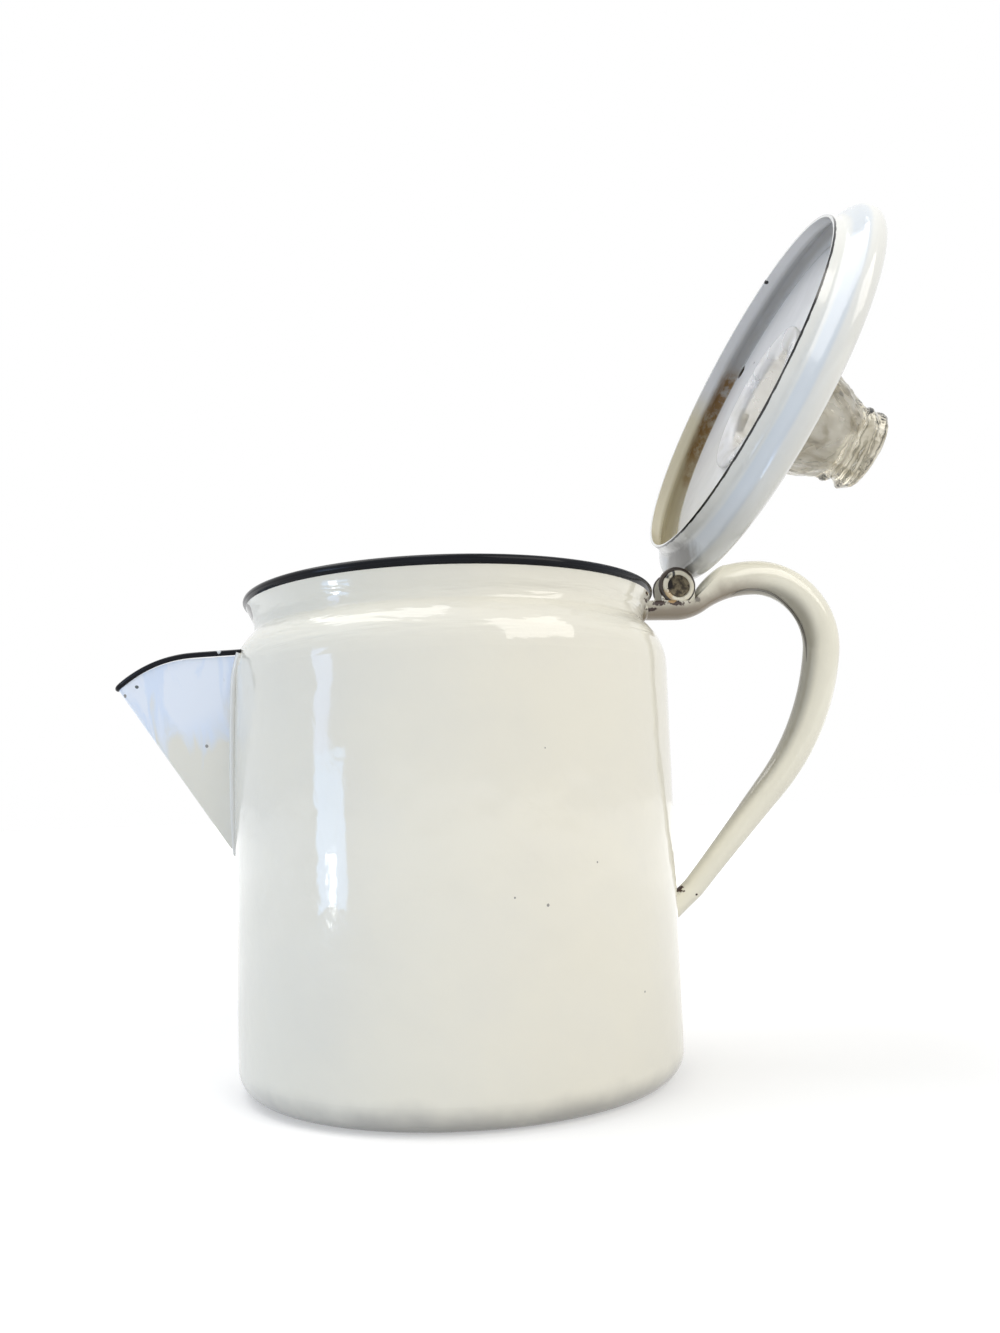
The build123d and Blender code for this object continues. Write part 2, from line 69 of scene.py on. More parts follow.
def vector_calculate(tree, kind, *values):
    outputs = add_node(tree, "VectorMath", dict(enumerate(values)), operation=kind).outputs
    return outputs["Value" if kind in ("LENGTH", "DOT_PRODUCT") else "Vector"]


def ramp(tree, value, start, end, low=0.0, high=1.0, kind="SMOOTHSTEP"):
    span = {"Value": value, "From Min": start, "From Max": end, "To Min": low, "To Max": high}
    return add_node(tree, "MapRange", span, interpolation_type=kind).outputs[0]


def object_place(tree):
    return add_node(tree, "TexCoord", {}).outputs["Object"]


def paint_over(tree, under, mask, colour):
    mix = add_node(tree, "Mix", {"Factor": mask, "A": under, "B": colour}, data_type="RGBA")
    return mix.outputs["Result"]


def seen_directly(tree):
    path = add_node(tree, "LightPath", {}).outputs
    seen = calculate(tree, "MAXIMUM", path["Is Camera Ray"], path["Is Glossy Ray"])
    return calculate(tree, "MAXIMUM", seen, path["Is Transmission Ray"])


def blank_material(name):
    material = bpy.data.materials.new(name)
    material.use_nodes = True
    tree = material.node_tree
    return material, tree, tree.nodes["Principled BSDF"]


bpy.ops.object.select_all(action="DESELECT")
bpy.ops.mesh.primitive_plane_add(size=floor_size, location=(0, 0, -floor_drop))
floor = bpy.context.object
floor.name = "stage_floor"
floor_white, floor_tree, floor_surface = blank_material("stage_floor_white")
floor_reach = vector_calculate(floor_tree, "LENGTH", object_place(floor_tree))
floor_fade = ramp(floor_tree, floor_reach, 0.15, 1.2, 0.42, 1.0, "LINEAR")
put_inputs(
    floor_tree,
    floor_surface,
    {
        "Base Color": stage_white,
        "Roughness": 0.9,
        "Specular IOR Level": 0.1,
        "Emission Color": plain_white,
        "Emission Strength": calculate(floor_tree, "MULTIPLY", seen_directly(floor_tree), floor_fade),
    },
)
floor.data.materials.append(floor_white)

surround = bpy.data.worlds.new("surround")
bpy.context.scene.world = surround
surround.use_nodes = True
surround_tree = surround.node_tree
surround_tree.nodes.clear()
surround_colour = paint_over(surround_tree, surround_light, seen_directly(surround_tree), plain_white)
surround_shader = add_node(surround_tree, "Background", {"Color": surround_colour})
add_node(surround_tree, "OutputWorld", {"Surface": surround_shader.outputs[0]})


def add_lamp(name, place, aim, width, height, radiance, colour):
    lamp_data = bpy.data.lights.new(name, "AREA")
    lamp_data.shape = "RECTANGLE"
    lamp_data.size = width
    lamp_data.size_y = height
    lamp_data.energy = radiance * math.pi * width * height
    lamp_data.color = colour
    lamp = bpy.data.objects.new(name, lamp_data)
    bpy.context.scene.collection.objects.link(lamp)
    lamp.location = place
    direction = Vector(aim) - Vector(place)
    lamp.rotation_euler = direction.to_track_quat("-Z", "Y").to_euler()
    lamp.visible_camera = False


pot_middle = (0, 0, 0.1)
add_lamp("lamp_right", (2.2, -2.7, 2.6), pot_middle, 2.8, 2.8, 3.75, (1.0, 0.965, 0.9))
add_lamp("lamp_above", (-1.1, 0.5, 3.4), pot_middle, 2.8, 2.8, 2.9, (1.0, 0.99, 0.98))
add_lamp("lamp_left", (-2.4, -1.0, 2.2), pot_middle, 2.0, 2.0, 0.3, (0.5, 0.75, 1.0))
window_low = (-0.045, -0.052, 0.09)
add_lamp("window_upper_pane", (-0.526, -0.179, 0.168), window_low, 0.1, 0.105, 3.6, (0.4, 0.56, 1.0))
add_lamp("window_lower_pane", (-0.509, -0.215, 0.062), window_low, 0.165, 0.108, 4.9, (0.33, 0.58, 1.0))
add_lamp("window_glint", (-0.5, -0.205, 0.022), window_low, 0.04, 0.035, 12.0, (0.95, 0.98, 1.0))

# The camera stands close to the table, a little left of the pot and below its rim,
# and looks slightly up.
camera_data = bpy.data.cameras.new("camera")
camera_data.lens = 29.08
camera_data.sensor_width = 36
camera = bpy.data.objects.new("camera", camera_data)
camera.location = (-0.043342, -0.345767, 0.081301)
camera.rotation_euler = (1.701485, 0.036688, -0.165384)
bpy.context.scene.collection.objects.link(camera)
bpy.context.scene.camera = camera
bpy.context.scene.view_settings.view_transform = "Standard"

# Pot body: one drawn steel can, 136 mm wide, dipped in cream enamel inside and out.
# The enamel is glossy and a little wavy, greyer where it is thin, with a few pits. Grey is
# painted in towards the foot as shade near the floor, and a splash of the rim's black has
# run down above the spout.
enamel_cream = (0.84, 0.815, 0.715, 1)
enamel_index = 1.52
pit_grey = (0.3, 0.29, 0.27, 1)
shade_and_mark_grey = (0.47, 0.46, 0.43, 1)
black_enamel_and_shadow = (0.007, 0.0075, 0.01, 1)
rust_brown = (0.035, 0.01, 0.003, 1)


def new_group(name, inputs, outputs):
    group = bpy.data.node_groups.new(name, "ShaderNodeTree")
    for label, kind, value in inputs:
        socket = group.interface.new_socket(label, in_out="INPUT", socket_type="NodeSocket" + kind)
        socket.default_value = value
    for label, kind in outputs:
        group.interface.new_socket(label, in_out="OUTPUT", socket_type="NodeSocket" + kind)
    return group, group.nodes.new("NodeGroupInput").outputs, group.nodes.new("NodeGroupOutput")


def noise_level(tree, place, scale, detail, roughness=0.5, distortion=0.0):
    look = {"Vector": place, "Scale": scale, "Detail": detail, "Roughness": roughness, "Distortion": distortion}
    return add_node(tree, "TexNoise", look).outputs["Fac"]


def add_bump(tree, height, strength, distance, **inputs):
    inputs.update({"Height": height, "Strength": strength, "Distance": distance * mm})
    return add_node(tree, "Bump", inputs).outputs[0]


# The enamel's skin, for every enamelled piece: a cloudy colour, faint smears in the
# gloss and a wavy dipped surface with a fine peel.
enamel_skin, skin_in, skin_out = new_group(
    "enamel_skin",
    [
        ("Colour", "Color", enamel_cream),
        ("Cloud colour", "Color", (0.7, 0.69, 0.64, 1)),
        ("Cloud", "Float", 0.35),
        ("Gloss", "Float", 0.06),
        ("Wave", "Float", 0.5),
    ],
    [("Colour", "Color"), ("Roughness", "Float"), ("Normal", "Vector")],
)
skin_place = object_place(enamel_skin)
skin_cloud = ramp(enamel_skin, noise_level(enamel_skin, skin_place, 32, 5, 0.6), 0.42, 0.75, kind="LINEAR")
skin_amount = calculate(enamel_skin, "MULTIPLY", skin_cloud, skin_in["Cloud"])
skin_smear = noise_level(enamel_skin, skin_place, 55, 4, 0.5, 1.2)
skin_smear = ramp(enamel_skin, skin_smear, 0.5, 0.8, 0.0, 0.07, "LINEAR")
skin_wave = noise_level(enamel_skin, skin_place, 38, 2)
skin_ripple = noise_level(enamel_skin, skin_place, 140, 2, 0.5, 0.6)
skin_peel = noise_level(enamel_skin, skin_place, 420, 2)
skin_height = calculate(enamel_skin, "MULTIPLY_ADD", skin_ripple, 0.13, skin_wave)
skin_height = calculate(enamel_skin, "MULTIPLY_ADD", skin_peel, 0.035, skin_height)
put_inputs(
    enamel_skin,
    skin_out,
    {
        "Colour": paint_over(enamel_skin, skin_in["Colour"], skin_amount, skin_in["Cloud colour"]),
        "Roughness": calculate(enamel_skin, "ADD", skin_smear, skin_in["Gloss"]),
        "Normal": add_bump(enamel_skin, skin_height, skin_in["Wave"], 0.5),
    },
)

# A spot, for chips, pits and stains on any piece: a patch round a centre whose edge is
# broken up by noise.
spot, spot_in, spot_out = new_group(
    "spot",
    [
        ("Centre", "Vector", (0, 0, 0)),
        ("Reach", "Vector", (mm, mm, mm)),
        ("Ragged", "Float", 0.5),
        ("Softness", "Float", 0.2),
        ("Grain", "Float", 500.0),
    ],
    [("Mask", "Float")],
)
spot_place = object_place(spot)
spot_noise = noise_level(spot, spot_place, spot_in["Grain"], 3, 0.6)
spot_offset = vector_calculate(spot, "SUBTRACT", spot_place, spot_in["Centre"])
spot_length = vector_calculate(spot, "LENGTH", vector_calculate(spot, "DIVIDE", spot_offset, spot_in["Reach"]))
spot_shift = calculate(spot, "SUBTRACT", spot_noise, 0.5)
spot_edge = calculate(spot, "MULTIPLY_ADD", spot_shift, spot_in["Ragged"], spot_length)
spot_inner = calculate(spot, "SUBTRACT", 1.0, spot_in["Softness"])
put_inputs(spot, spot_out, {"Mask": ramp(spot, spot_edge, 1.0, spot_inner)})


def paint_spot(tree, under, colour, centre, reach, roughen=0.5, softness=0.25, grain=500.0, strength=1.0):
    reach = reach if isinstance(reach, tuple) else (reach, reach, reach)
    shape = {
        "Centre": [value * mm for value in centre],
        "Reach": [value * mm for value in reach],
        "Ragged": roughen,
        "Softness": softness,
        "Grain": grain,
    }
    mask = add_node(tree, "Group", shape, node_tree=spot).outputs["Mask"]
    if strength < 1:
        mask = calculate(tree, "MULTIPLY", mask, strength)
    return paint_over(tree, under, mask, colour)


def enamel_material(name, colour, cloud_colour, cloud=0.35, gloss=0.06, wave=0.5):
    material, tree, surface = blank_material(name)
    look = {"Colour": colour, "Cloud colour": cloud_colour, "Cloud": cloud, "Gloss": gloss, "Wave": wave}
    skin = add_node(tree, "Group", look, node_tree=enamel_skin).outputs
    put_inputs(tree, surface, {"Roughness": skin["Roughness"], "Normal": skin["Normal"], "IOR": enamel_index})
    return material, tree, surface, skin["Colour"]


def dress(node_name, material):
    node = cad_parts[node_name]
    if not node.material_slots:
        node.data.materials.append(material)
    for slot in node.material_slots:
        slot.material = material


def object_axes(tree):
    return add_node(tree, "SeparateXYZ", {"Vector": object_place(tree)}).outputs


def product(tree, first, *others):
    for value in others:
        first = calculate(tree, "MULTIPLY", first, value)
    return first


def ragged(tree, value, amount, grain):
    shift = calculate(tree, "SUBTRACT", noise_level(tree, object_place(tree), grain, 3), 0.5)
    return calculate(tree, "MULTIPLY_ADD", shift, amount, value)


body_enamel, body_tree, body_surface, body_colour = enamel_material(
    "enamel_pot_body", enamel_cream, (0.76, 0.75, 0.70, 1), wave=1.2
)
body_height = object_axes(body_tree)["Z"]
drip_stretch = add_node(body_tree, "Mapping", {"Vector": object_place(body_tree), "Scale": (1, 1, 7)})
neck_relief = product(
    body_tree,
    noise_level(body_tree, drip_stretch.outputs[0], 30, 3, 0.5, 0.4),
    ramp(body_tree, body_height, 124 * mm, 132 * mm),
    ramp(body_tree, body_height, 146 * mm, 142 * mm),
)
body_skin_normal = body_surface.inputs["Normal"].links[0].from_socket
# Painted shade: the enamel is painted grey towards the foot, for the shade near the floor.
foot_painted_shade = ramp(body_tree, ragged(body_tree, body_height, 8 * mm, 60), 10 * mm, 1 * mm, 0.0, 0.9)
body_colour = paint_over(body_tree, body_colour, foot_painted_shade, shade_and_mark_grey)
for centre, size in (
    ((30, -62, 66), 0.4),
    ((14.9, -66.9, 55.9), 0.4),
    ((6, -68.2, 58.3), 0.3),
    ((15.8, -67.1, 96.6), 0.25),
    ((-12, -68, 44), 0.3),
    ((44, -52, 30), 0.35),
    ((-66, 20, 60), 0.6),
    ((40, 56, 90), 0.6),
):
    body_colour = paint_spot(body_tree, body_colour, pit_grey, centre, size, 0.8)
for centre, reach in (
    ((60, -24, 144.6), (4, 5, 0.5)),
    ((62.5, -19, 145.6), (2, 6, 0.7)),
    ((59, -27, 146.2), (3, 3, 0.5)),
):
    body_colour = paint_spot(body_tree, body_colour, rust_brown, centre, reach, 2.2, 0.3, 900)
lip_edge = ramp(body_tree, ragged(body_tree, body_height, 0.35 * mm, 170), 146.75 * mm, 146.95 * mm)
body_colour = paint_over(body_tree, body_colour, lip_edge, black_enamel_and_shadow)
black_splash, splash_reach = (-63.4, -7, 144.9), (1.8, 6.5, 3.0)
body_colour = paint_spot(body_tree, body_colour, black_enamel_and_shadow, black_splash, splash_reach, 0.4, 0.12, 300)
put_inputs(
    body_tree,
    body_surface,
    {"Base Color": body_colour, "Normal": add_bump(body_tree, neck_relief, 0.8, 1.0, Normal=body_skin_normal)},
)
dress("pot_body", body_enamel)

# Rim bead: the pot's lip rolled to a bead 3 mm thick and dipped in black enamel. The
# black is duller than the cream, and a shade paler where it is thin.


def black_material(name):
    material, tree, surface, colour = enamel_material(
        name, black_enamel_and_shadow, (0.018, 0.022, 0.032, 1), cloud=0.6, gloss=0.14, wave=0.6
    )
    surface.inputs["Specular IOR Level"].default_value = 0.1
    return material, tree, surface, colour


rim_black, rim_tree, rim_surface, rim_colour = black_material("enamel_black_edge")
put_inputs(rim_tree, rim_surface, {"Base Color": rim_colour})
dress("rim_bead", rim_black)

# Spout: one sheet folded to a V, its nose round, and welded to the wall. The enamel is
# thick and wavy here and black along its edge, with a pit and two dark chips. A painted
# reflection of the window, blue with pale streaks, runs over the flanks near the mouth.
painted_reflection_blue = (0.74, 0.84, 1.0, 1)
painted_highlight_pale = (0.88, 0.92, 0.98, 1)
chip_dark = (0.08, 0.1, 0.1, 1)
mouth_bend = (-80, 93.23)
mouth_bend_radius = 37.97
mouth_level = 131.2
spout_enamel, spout_tree, spout_surface, spout_colour = enamel_material(
    "enamel_spout", enamel_cream, (0.72, 0.72, 0.69, 1), wave=1.0
)
spout_axes = object_axes(spout_tree)
# Painted reflection: blue and pale streaks near the mouth stand for the window seen in the flanks.
streak_stretch = add_node(spout_tree, "Mapping", {"Vector": object_place(spout_tree), "Scale": (1, 1, 0.28)})
spout_streak = noise_level(spout_tree, streak_stretch.outputs[0], 110, 4, 0.5, 0.8)
spout_streak = calculate(spout_tree, "SUBTRACT", spout_streak, 0.5)
spout_slant = calculate(spout_tree, "MULTIPLY_ADD", spout_axes["X"], -0.45, spout_axes["Z"])
spout_reflection_mask = calculate(spout_tree, "MULTIPLY_ADD", spout_streak, 70 * mm, spout_slant)
spout_reflection_mask = ramp(spout_tree, spout_reflection_mask, 139 * mm, 156 * mm, 0.0, 0.9)
spout_colour = paint_over(spout_tree, spout_colour, spout_reflection_mask, painted_reflection_blue)
spout_highlight_mask = product(
    spout_tree,
    ramp(spout_tree, spout_streak, -0.02, 0.09, 0.0, 0.8),
    ramp(spout_tree, spout_slant, 138 * mm, 150 * mm),
)
spout_colour = paint_over(spout_tree, spout_colour, spout_highlight_mask, painted_highlight_pale)
droop_x = calculate(spout_tree, "MINIMUM", spout_axes["X"], mouth_bend[0] * mm)
droop_out = calculate(spout_tree, "SUBTRACT", droop_x, mouth_bend[0] * mm)
droop_up = calculate(spout_tree, "SUBTRACT", spout_axes["Z"], mouth_bend[1] * mm)
droop_far = calculate(spout_tree, "MULTIPLY_ADD", droop_out, droop_out, product(spout_tree, droop_up, droop_up))
droop_far = calculate(spout_tree, "SQRT", droop_far)
below_mouth = calculate(spout_tree, "SUBTRACT", mouth_bend_radius * mm, droop_far)
below_mouth = ragged(spout_tree, below_mouth, 0.9 * mm, 220)
band_width = calculate(
    spout_tree,
    "MINIMUM",
    ramp(spout_tree, spout_axes["X"], -71 * mm, -86 * mm, 0.9 * mm, 1.6 * mm),
    ramp(spout_tree, spout_axes["X"], -104 * mm, -91 * mm, 1.3 * mm, 1.6 * mm),
)
band_depth = calculate(spout_tree, "SUBTRACT", band_width, below_mouth)
spout_colour = paint_over(spout_tree, spout_colour, ramp(spout_tree, band_depth, 0.0, 0.25 * mm), black_enamel_and_shadow)
for centre, reach, tint in (
    ((-76.7, -6.6, 103.3), (0.6, 0.8, 0.6), pit_grey),
    ((-97.7, -4.2, 122.1), (0.7, 1.0, 0.6), chip_dark),
    ((-101.6, -1.9, 119.6), (0.6, 1.0, 0.7), pit_grey),
    ((-71, -14.6, 121), (0.5, 0.6, 2.2), shade_and_mark_grey),
):
    spout_colour = paint_spot(spout_tree, spout_colour, tint, centre, reach, 0.8)
put_inputs(spout_tree, spout_surface, {"Base Color": spout_colour})
dress("spout_shell", spout_enamel)

# Black rim of the spout: the mouth's edge rolled outwards to a thin bead that follows
# the folded V and droops towards the tip. A chip near the wall shows the ground coat.
apex_height = 69.9
spout_depth = 61.3
keel_root = -68.7045
keel_slope = 1.474
nose_full = 3.0
flank_turn = math.radians(20.307)
mouth_start, mouth_run = -65.6, 34.2
tip_height = 121.6
bead_radius = 0.85
bead_sink = 0.75
bead_proud = 0.06
bead_side = 0.15
ground_coat = (0.6, 0.62, 0.62, 1)


def place_piece(piece, name, body, material, smooth_angle=45):
    bpy.ops.object.select_all(action="DESELECT")
    piece.select_set(True)
    bpy.context.view_layer.objects.active = piece
    bpy.ops.object.transform_apply(location=True, rotation=True, scale=True)
    bpy.ops.object.shade_smooth_by_angle(angle=math.radians(smooth_angle))
    piece.name = name
    piece.data.name = name
    piece.data.materials.clear()
    piece.data.materials.append(material)
    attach(piece, body)


def add_tube(points, radius, widths=None):
    curve = bpy.data.curves.new("tube", "CURVE")
    curve.dimensions = "3D"
    curve.bevel_depth = radius * mm
    curve.bevel_resolution = 4
    curve.resolution_u = 6
    curve.use_fill_caps = True
    line = curve.splines.new("NURBS")
    line.points.add(len(points) - 1)
    for index, (control, place) in enumerate(zip(line.points, points)):
        control.co = (place[0] * mm, place[1] * mm, place[2] * mm, 1)
        if widths:
            control.radius = widths[index]
    line.order_u = 3
    line.use_endpoint_u = True
    tube = bpy.data.objects.new("tube", curve)
    bpy.context.scene.collection.objects.link(tube)
    bpy.ops.object.select_all(action="DESELECT")
    tube.select_set(True)
    bpy.context.view_layer.objects.active = tube
    bpy.ops.object.convert(target="MESH")
    return bpy.context.object


def mouth_line(x):
    if x > mouth_bend[0]:
        return mouth_level
    return mouth_bend[1] + math.sqrt(mouth_bend_radius ** 2 - (x - mouth_bend[0]) ** 2)


def nose_centre(height):
    nose = nose_full * (height - apex_height) / spout_depth
    return keel_root - (height - apex_height) / keel_slope + nose, nose


def flank_side(x, height):
    centre, nose = nose_centre(height)
    return (x - centre + nose / math.sin(flank_turn)) * math.tan(flank_turn)


bead_flank = []
for step in range(9):
    x = mouth_start - mouth_run * step / 8
    height = mouth_line(x) - bead_sink
    bead_flank.append((x, -flank_side(x, height) - bead_side, height))
bead_nose = []
for step in range(-2, 3):
    turn = math.radians(35 * step)
    height = tip_height
    for again in range(3):
        centre, nose = nose_centre(height)
        height = mouth_line(centre - nose * math.cos(turn)) - bead_sink
    reach = nose + bead_proud
    bead_nose.append((centre - reach * math.cos(turn), reach * math.sin(turn), height))
bead_far_flank = [(x, -y, z) for x, y, z in reversed(bead_flank)]
spout_black, bead_tree, bead_surface, bead_colour = black_material("enamel_black_spout")
bead_colour = paint_spot(
    bead_tree, bead_colour, ground_coat, (-72.2, -17.4, 130.9), (0.9, 1.4, 0.9), 2.0, 0.3, 900
)
put_inputs(bead_tree, bead_surface, {"Base Color": bead_colour})
spout_bead = add_tube(bead_flank + bead_nose + bead_far_flank, bead_radius)
place_piece(spout_bead, "spout_bead", "pot", spout_black)
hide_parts("spout_rim")

# Weld between spout and wall: a fillet of weld under the enamel, run down one side of
# the spout, round its point and up the other.
wall_lean = math.tan(math.radians(0.65))
wall_radius, wall_start = 68, 7.8
shoulder_start = 124
shoulder_bend = (51.72, 124.2)
shoulder_radius = 17.6
seam_top, seam_drop = 130.3, 57.3
seam_out, seam_side = 0.25, 0.2
seam_point = (-68.9, -0.5, 70.2)
seam_radius = 1.1


def wall_at(height):
    if height < shoulder_start:
        return wall_radius + (height - wall_start) * wall_lean
    return shoulder_bend[0] + math.sqrt(shoulder_radius ** 2 - (height - shoulder_bend[1]) ** 2)


seam_route = []
for step in range(11):
    height = seam_top - seam_drop * step / 10
    x = -wall_at(height)
    for again in range(6):
        side = flank_side(x, height)
        x = -math.sqrt(max(wall_at(height) ** 2 - side ** 2, 0))
    seam_route.append((x - seam_out, -flank_side(x, height) - seam_side, height))
seam_route.append(seam_point)
seam_route += [(x, -y, z) for x, y, z in reversed(seam_route)]
seam_widths = [1.0] * 9 + [0.85, 0.7, 0.6, 0.6, 0.7, 0.85] + [1.0] * 9
spout_seam = add_tube(seam_route, seam_radius, seam_widths)
seam_enamel, seam_tree, seam_surface, seam_colour = enamel_material(
    "enamel_spout_seam", (0.84, 0.83, 0.78, 1), (0.75, 0.75, 0.72, 1), wave=0.8
)
put_inputs(seam_tree, seam_surface, {"Base Color": seam_colour})
place_piece(spout_seam, "spout_seam", "pot", seam_enamel)

# Handle: sheet rolled to a tube with its seam on the inside of the grip, welded to the
# neck and to the wall, in a more ivory enamel. Rust has come through at both ends.
ivory = (0.86, 0.835, 0.715, 1)
root_shade = (0.27, 0.225, 0.19, 1)
grip_painted_shade = (0.36, 0.345, 0.29, 1)
underside_painted_shade = (0.31, 0.26, 0.2, 1)
bare_steel = (0.2, 0.18, 0.15, 1)
rust_orange = (0.5, 0.31, 0.13, 1)
grip_middle = (92 * mm, 0, 118 * mm)
handle_enamel, handle_tree, handle_surface, handle_colour = enamel_material(
    "enamel_handle", ivory, (0.73, 0.71, 0.62, 1)
)
handle_axes = object_axes(handle_tree)
handle_object = add_node(handle_tree, "TexCoord", {}).outputs
handle_colour = paint_spot(
    handle_tree, handle_colour, root_shade, (77, -2, 140.5), (19, 9, 8.0), 0.5, 0.45, 120, 0.95
)
# Painted shade: the inside of the grip is painted greyer, for the shade on the side that
# faces away from the lamps. It is found as the part of the tube that faces the middle of
# the grip.
grip_way = vector_calculate(handle_tree, "SUBTRACT", grip_middle, handle_object["Object"])
grip_way = vector_calculate(handle_tree, "NORMALIZE", grip_way)
grip_shade_mask = vector_calculate(handle_tree, "DOT_PRODUCT", grip_way, handle_object["Normal"])
grip_shade_mask = ramp(handle_tree, grip_shade_mask, 0.2, 0.8, 0.0, 0.85)
handle_colour = paint_over(handle_tree, handle_colour, grip_shade_mask, grip_painted_shade)
# Painted shade: the root's underside is painted brown, for the shade under the tube. It
# is the part near the neck that faces down.
handle_facing = add_node(handle_tree, "SeparateXYZ", {"Vector": handle_object["Normal"]}).outputs["Z"]
root_underside_shade = product(
    handle_tree,
    ramp(handle_tree, ragged(handle_tree, handle_facing, 0.8, 150), 0.35, -0.75, 0.0, 0.9),
    ramp(handle_tree, handle_axes["X"], 116 * mm, 90 * mm),
    ramp(handle_tree, handle_axes["Z"], 110 * mm, 130 * mm),
)
handle_colour = paint_over(handle_tree, handle_colour, root_underside_shade, underside_painted_shade)
for centre, reach, tint in (
    ((69.8, -5.4, 147.5), (2.6, 1.8, 1.2), rust_brown),
    ((66.8, -4.8, 145.3), (3.0, 2.0, 0.7), rust_brown),
    ((76.3, -5.4, 147.3), (3.6, 1.4, 0.9), rust_brown),
    ((74.5, -5.5, 147.9), (1.6, 1.0, 0.5), rust_orange),
    ((83.4, -5.4, 148.6), (1.3, 1.6, 1.2), bare_steel),
    ((72.6, -2, 53.4), (1.5, 2.6, 2.2), rust_brown),
    ((77.8, -3.4, 51.0), (0.5, 0.8, 0.4), rust_brown),
    ((120, 5, 128), (0.5, 0.8, 0.6), pit_grey),
):
    handle_colour = paint_spot(handle_tree, handle_colour, tint, centre, reach, 2.4, 0.35, 800)
put_inputs(handle_tree, handle_surface, {"Base Color": handle_colour})
dress("handle_tube", handle_enamel)

# Throat of the handle: the tube's end behind the hinge is closed with a domed cap of
# sheet, welded round its edge and enamelled over. Its inner side is cut flat.
cap_lean = math.radians(47)
cap_centre = Vector((90.2, 0, 155.5))
cap_reach = (2.1, 5.0, 8.6)
cap_cut = 1.1


def add_lumps(piece, name, grain, strength):
    lumps = piece.modifiers.new("lumps", "DISPLACE")
    pattern = bpy.data.textures.new(name + "_lumps", "CLOUDS")
    pattern.noise_scale = grain * mm
    lumps.texture = pattern
    lumps.texture_coords = "GLOBAL"
    lumps.strength = strength * mm
    bpy.ops.object.modifier_apply(modifier=lumps.name)


bpy.ops.object.select_all(action="DESELECT")
bpy.ops.mesh.primitive_uv_sphere_add(
    segments=48, ring_count=24, radius=mm, location=cap_centre * mm, rotation=(0, cap_lean, 0), scale=cap_reach
)
throat_cap = bpy.context.object
cap_inward = Vector((math.cos(cap_lean), 0, -math.sin(cap_lean)))
bpy.ops.object.mode_set(mode="EDIT")
bpy.ops.mesh.select_all(action="SELECT")
bpy.ops.mesh.bisect(
    plane_co=(cap_centre + cap_cut * cap_inward) * mm, plane_no=cap_inward, clear_outer=True, use_fill=True
)
bpy.ops.object.mode_set(mode="OBJECT")
add_lumps(throat_cap, "throat_cap", 2.0, 0.04)
place_piece(throat_cap, "throat_cap", "pot", handle_enamel)

# Seam of the rolled tube: its edges meet in a dark closed crack along the inside of the
# grip, which tapers out at both ends under the enamel.
crack_radius = 0.4
crack_route = [
    (96.6, -3.6, 150.4),
    (101.2, -3.9, 152.7),
    (110.6, -2.9, 151.6),
    (117.2, -0.9, 147.4),
    (121.6, -0.6, 141.4),
    (123.4, -0.9, 135),
    (123, -1.8, 127.7),
    (121.6, -2.2, 121),
]
crack_widths = [0.2, 0.9, 1.0, 1.0, 1.0, 1.0, 0.7, 0.2]
handle_crack, crack_tree, crack_surface, crack_colour = enamel_material(
    "enamel_seam_line", (0.17, 0.16, 0.14, 1), (0.3, 0.29, 0.26, 1), gloss=0.3
)
put_inputs(crack_tree, crack_surface, {"Base Color": crack_colour})
handle_seam = add_tube(crack_route, crack_radius, crack_widths)
place_piece(handle_seam, "handle_seam", "pot", handle_crack)

# Welds at the handle's ends: small lumpy blobs of weld, one on the wall and one on the
# neck, enamelled over with the handle.
for name, centre, reach in (
    ("handle_foot_weld", (70.4, 0, 48.4), (2.3, 3.5, 3.4)),
    ("handle_root_weld", (65.2, 0, 145.2), (1.9, 6.1, 3.6)),
):
    bpy.ops.object.select_all(action="DESELECT")
    bpy.ops.mesh.primitive_ico_sphere_add(subdivisions=4, radius=mm, location=Vector(centre) * mm, scale=reach)
    weld = bpy.context.object
    add_lumps(weld, name, 1.6, 0.18)
    place_piece(weld, name, "pot", handle_enamel)

# Hinge: a U of sheet in the trough whose sides end in round ears. A raised ring of
# enamel stands round each pin head and a dark rim round each ear, both flat at the back.
# The rim is rust and painted shadow, for the gap between the ear and the lid's strap.
hinge = (77.2, 0, 153.1)
ring_back = 0.5
ring_flatness = 0.2
between_ears_shade = (0.72, 0.69, 0.6, 1)
ring_stain = (0.72, 0.55, 0.33, 1)
bracket_enamel, bracket_tree, bracket_surface, bracket_colour = enamel_material(
    "enamel_bracket", ivory, (0.7, 0.66, 0.55, 1)
)
# Painted shade: the bracket is painted darker between the ears, where the shade falls.
between_ears_mask = calculate(bracket_tree, "ABSOLUTE", object_axes(bracket_tree)["Y"])
between_ears_mask = ramp(bracket_tree, between_ears_mask, 3.7 * mm, 3.6 * mm)
bracket_colour = paint_over(bracket_tree, bracket_colour, between_ears_mask, between_ears_shade)
bracket_colour = paint_spot(
    bracket_tree, bracket_colour, rust_brown, (74.6, -4.8, 148.7), (3.0, 1, 0.7), 2.2, 0.5, 800
)
put_inputs(bracket_tree, bracket_surface, {"Base Color": bracket_colour})
dress("hinge_bracket", bracket_enamel)

ring_enamel, ring_tree, ring_surface, ring_colour = enamel_material(
    "enamel_ear_ring", (0.86, 0.82, 0.68, 1), (0.76, 0.66, 0.45, 1), cloud=0.5
)
